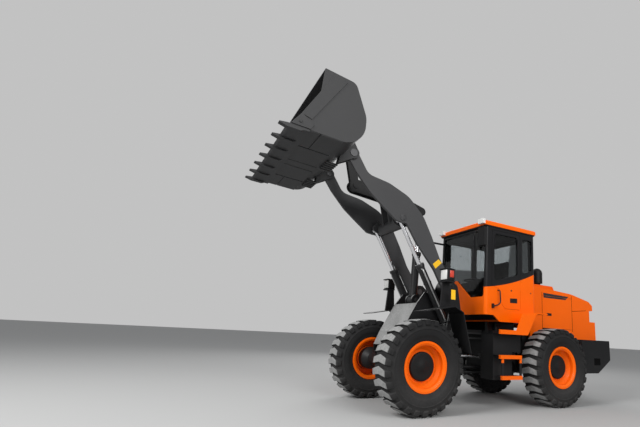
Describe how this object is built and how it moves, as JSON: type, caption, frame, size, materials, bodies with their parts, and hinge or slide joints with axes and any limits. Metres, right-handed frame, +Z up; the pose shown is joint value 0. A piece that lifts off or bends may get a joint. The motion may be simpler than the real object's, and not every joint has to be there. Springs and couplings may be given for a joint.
{
  "type": "articulated wheel loader",
  "caption": "Articulated wheel loader with an enclosed cab, lift arms, tilt linkage and a toothed bucket held high and level; it steers by bending at its middle pivot.",
  "frame": {"origin": "on the ground under the middle of the machine's length, as it stands with its arms raised", "axes": "+X forward towards the bucket, +Y to the machine's left, +Z up"},
  "size_m": [7.1864, 2.54, 4.67],
  "materials": {
    "orange_paint": "gloss",
    "grey_paint": "satin",
    "bucket_paint": "worn satin",
    "cast_weight": "painted, satin",
    "engine_iron": "matt",
    "rod_chrome": "polished",
    "pin_steel": "greased",
    "tyre_rubber": "matt",
    "window_glass": "clear",
    "black_plastic": "matt",
    "lamp_plastic": "clear cover",
    "red_plastic": "clear red cover",
    "seat_fabric": "woven"
  },
  "bodies": {
    "rear_frame": {"rear_frame": "grey_paint", "steer_pins": "pin_steel", "engine_block": "engine_iron", "counterweight": "cast_weight", "bonnet": "orange_paint", "rear_grille": "black_plastic", "tail_lamps": "red_plastic", "exhaust": "grey_paint", "side_tanks": "grey_paint", "steps": "orange_paint", "rear_fenders": "orange_paint", "cab_shell": "orange_paint", "cab_glass": "window_glass", "cab_roof": "orange_paint", "seat_base": "black_plastic", "seat_cushions": "seat_fabric", "steering_column": "black_plastic", "console": "black_plastic", "mirrors": "black_plastic", "roof_lamps": "lamp_plastic"},
    "cab_door": {"cab_door": "orange_paint", "door_glass": "window_glass"},
    "engine_door_left": {"engine_door_left": "orange_paint"},
    "engine_door_right": {"engine_door_right": "orange_paint"},
    "rear_axle": {"rear_axle": "grey_paint"},
    "front_frame": {"front_frame": "grey_paint", "frame_pins": "pin_steel", "front_axle": "grey_paint", "front_fenders": "grey_paint", "lamp_posts": "grey_paint", "headlamps": "lamp_plastic"},
    "boom": {"boom": "grey_paint"},
    "bucket_pins": {"bucket_pins": "pin_steel"},
    "bucket": {"bucket": "bucket_paint", "bucket_teeth": "bucket_paint"},
    "crank_pin": {"crank_pin": "pin_steel"},
    "bell_crank": {"bell_crank": "grey_paint"},
    "link_pin": {"link_pin": "pin_steel"},
    "tilt_link": {"tilt_link": "grey_paint"},
    "tilt_barrel": {"tilt_barrel": "grey_paint"},
    "tilt_rod": {"tilt_rod": "rod_chrome"},
    "wheel_front_left": {"tyre_front_left": "tyre_rubber", "rim_front_left": "orange_paint"},
    "wheel_rear_left": {"tyre_rear_left": "tyre_rubber", "rim_rear_left": "orange_paint"},
    "lift_barrel_left": {"lift_barrel_left": "grey_paint"},
    "lift_rod_left": {"lift_rod_left": "rod_chrome"},
    "steer_barrel_left": {"steer_barrel_left": "grey_paint"},
    "steer_rod_left": {"steer_rod_left": "rod_chrome"},
    "wheel_front_right": {"tyre_front_right": "tyre_rubber", "rim_front_right": "orange_paint"},
    "wheel_rear_right": {"tyre_rear_right": "tyre_rubber", "rim_rear_right": "orange_paint"},
    "lift_barrel_right": {"lift_barrel_right": "grey_paint"},
    "lift_rod_right": {"lift_rod_right": "rod_chrome"},
    "steer_barrel_right": {"steer_barrel_right": "grey_paint"},
    "steer_rod_right": {"steer_rod_right": "rod_chrome"}
  },
  "joints": [
    {"name": "cab_door_hinge", "type": "hinge", "parent": "rear_frame", "child": "cab_door", "pos_m": [-1.17315, 0.72, 2.3], "axis": [0, 0, 1], "range_deg": [0, 85]},
    {"name": "engine_door_left_hinge", "type": "hinge", "parent": "rear_frame", "child": "engine_door_left", "pos_m": [-2.37315, 0.56, 2], "axis": [1, 0, 0], "range_deg": [0, 85]},
    {"name": "engine_door_right_hinge", "type": "hinge", "parent": "rear_frame", "child": "engine_door_right", "pos_m": [-2.37315, -0.56, 2], "axis": [-1, 0, 0], "range_deg": [0, 85]},
    {"name": "rear_axle_rock", "type": "hinge", "parent": "rear_frame", "child": "rear_axle", "pos_m": [-1.82315, 0, 0.675], "axis": [1, 0, 0], "range_deg": [-10, 10]},
    {"name": "steering", "type": "hinge", "parent": "rear_frame", "child": "front_frame", "pos_m": [-0.37315, 0, 0.855], "axis": [0, 0, 1], "range_deg": [-38, 38]},
    {"name": "wheel_front_left_spin", "type": "hinge", "parent": "front_frame", "child": "wheel_front_left", "pos_m": [1.07685, 0.925, 0.675], "axis": [0, 1, 0], "continuous": true},
    {"name": "wheel_front_right_spin", "type": "hinge", "parent": "front_frame", "child": "wheel_front_right", "pos_m": [1.07685, -0.925, 0.675], "axis": [0, 1, 0], "continuous": true},
    {"name": "wheel_rear_left_spin", "type": "hinge", "parent": "rear_axle", "child": "wheel_rear_left", "pos_m": [-1.82315, 0.925, 0.675], "axis": [0, 1, 0], "continuous": true},
    {"name": "wheel_rear_right_spin", "type": "hinge", "parent": "rear_axle", "child": "wheel_rear_right", "pos_m": [-1.82315, -0.925, 0.675], "axis": [0, 1, 0], "continuous": true},
    {"name": "boom_lift", "type": "hinge", "parent": "front_frame", "child": "boom", "pos_m": [0.37685, 0, 1.9], "axis": [0, 1, 0], "range_deg": [0, 81.41]},
    {"name": "bucket_pins_turn", "type": "hinge", "parent": "boom", "child": "bucket_pins", "pos_m": [2.32685, 0, 3.83], "axis": [0, 1, 0], "range_deg": [-81.46, 0]},
    {"name": "bucket_tilt", "type": "hinge", "parent": "bucket_pins", "child": "bucket", "pos_m": [2.32685, 0, 3.83], "axis": [0, -1, 0], "range_deg": [-45, 45]},
    {"name": "crank_pin_turn", "type": "hinge", "parent": "boom", "child": "crank_pin", "pos_m": [1.37585, 0, 3.468], "axis": [0, 1, 0], "range_deg": [0, 43.52]},
    {"name": "bell_crank_turn", "type": "hinge", "parent": "crank_pin", "child": "bell_crank", "pos_m": [1.37585, 0, 3.468], "axis": [0, 1, 0], "range_deg": [-18.86, 18.86]},
    {"name": "link_pin_turn", "type": "hinge", "parent": "bucket", "child": "link_pin", "pos_m": [2.19685, 0, 4.192], "axis": [0, 1, 0], "range_deg": [0, 72.67]},
    {"name": "tilt_link_turn", "type": "hinge", "parent": "link_pin", "child": "tilt_link", "pos_m": [2.19685, 0, 4.192], "axis": [0, 1, 0], "range_deg": [-20.3, 20.3]},
    {"name": "tilt_barrel_turn", "type": "hinge", "parent": "front_frame", "child": "tilt_barrel", "pos_m": [0.72385, 0, 1.702], "axis": [0, 1, 0], "range_deg": [0, 88.14]},
    {"name": "tilt_rod_slide", "type": "slide", "parent": "tilt_barrel", "child": "tilt_rod", "axis": [-0.0222, 0, 0.9998], "range_m": [-0.2233, 0.2233]},
    {"name": "lift_barrel_left_turn", "type": "hinge", "parent": "front_frame", "child": "lift_barrel_left", "pos_m": [0.28685, 0.47, 1.24], "axis": [0, 1, 0], "range_deg": [0, 64.69]},
    {"name": "lift_rod_left_slide", "type": "slide", "parent": "lift_barrel_left", "child": "lift_rod_left", "axis": [0.5224, 0, 0.8527], "range_m": [-0.7285, 0]},
    {"name": "steer_barrel_left_turn", "type": "hinge", "parent": "rear_frame", "child": "steer_barrel_left", "pos_m": [-1.17315, 0.42, 0.8], "axis": [0, 0, 1], "range_deg": [-6.51, 6.51]},
    {"name": "steer_rod_left_slide", "type": "slide", "parent": "steer_barrel_left", "child": "steer_rod_left", "axis": [0.9884, -0.1521, 0], "range_m": [-0.1874, 0.1874]},
    {"name": "lift_barrel_right_turn", "type": "hinge", "parent": "front_frame", "child": "lift_barrel_right", "pos_m": [0.28685, -0.47, 1.24], "axis": [0, 1, 0], "range_deg": [0, 64.69]},
    {"name": "lift_rod_right_slide", "type": "slide", "parent": "lift_barrel_right", "child": "lift_rod_right", "axis": [0.5224, 0, 0.8527], "range_m": [-0.7285, 0]},
    {"name": "steer_barrel_right_turn", "type": "hinge", "parent": "rear_frame", "child": "steer_barrel_right", "pos_m": [-1.17315, -0.42, 0.8], "axis": [0, 0, 1], "range_deg": [-6.51, 6.51]},
    {"name": "steer_rod_right_slide", "type": "slide", "parent": "steer_barrel_right", "child": "steer_rod_right", "axis": [0.9884, 0.1521, 0], "range_m": [-0.1874, 0.1874]}
  ],
  "couplings": [
    {"joint": "bucket_pins_turn", "follows": "boom_lift", "ratio": -1},
    {"joint": "crank_pin_turn", "follows": "boom_lift", "ratio": 0.534},
    {"joint": "bell_crank_turn", "follows": "bucket_tilt", "ratio": 0.418},
    {"joint": "link_pin_turn", "follows": "boom_lift", "ratio": 0.892},
    {"joint": "tilt_link_turn", "follows": "bucket_tilt", "ratio": 0.45},
    {"joint": "tilt_barrel_turn", "follows": "boom_lift", "ratio": 1.082},
    {"joint": "tilt_rod_slide", "follows": "bucket_tilt", "m_per_rad": 0.283},
    {"joint": "lift_barrel_left_turn", "follows": "boom_lift", "ratio": 0.794},
    {"joint": "lift_rod_left_slide", "follows": "boom_lift", "m_per_rad": -0.512},
    {"joint": "steer_barrel_left_turn", "follows": "steering", "ratio": 0.17},
    {"joint": "steer_rod_left_slide", "follows": "steering", "m_per_rad": -0.281},
    {"joint": "lift_barrel_right_turn", "follows": "boom_lift", "ratio": 0.794},
    {"joint": "lift_rod_right_slide", "follows": "boom_lift", "m_per_rad": -0.512},
    {"joint": "steer_barrel_right_turn", "follows": "steering", "ratio": 0.17},
    {"joint": "steer_rod_right_slide", "follows": "steering", "m_per_rad": 0.281}
  ]
}
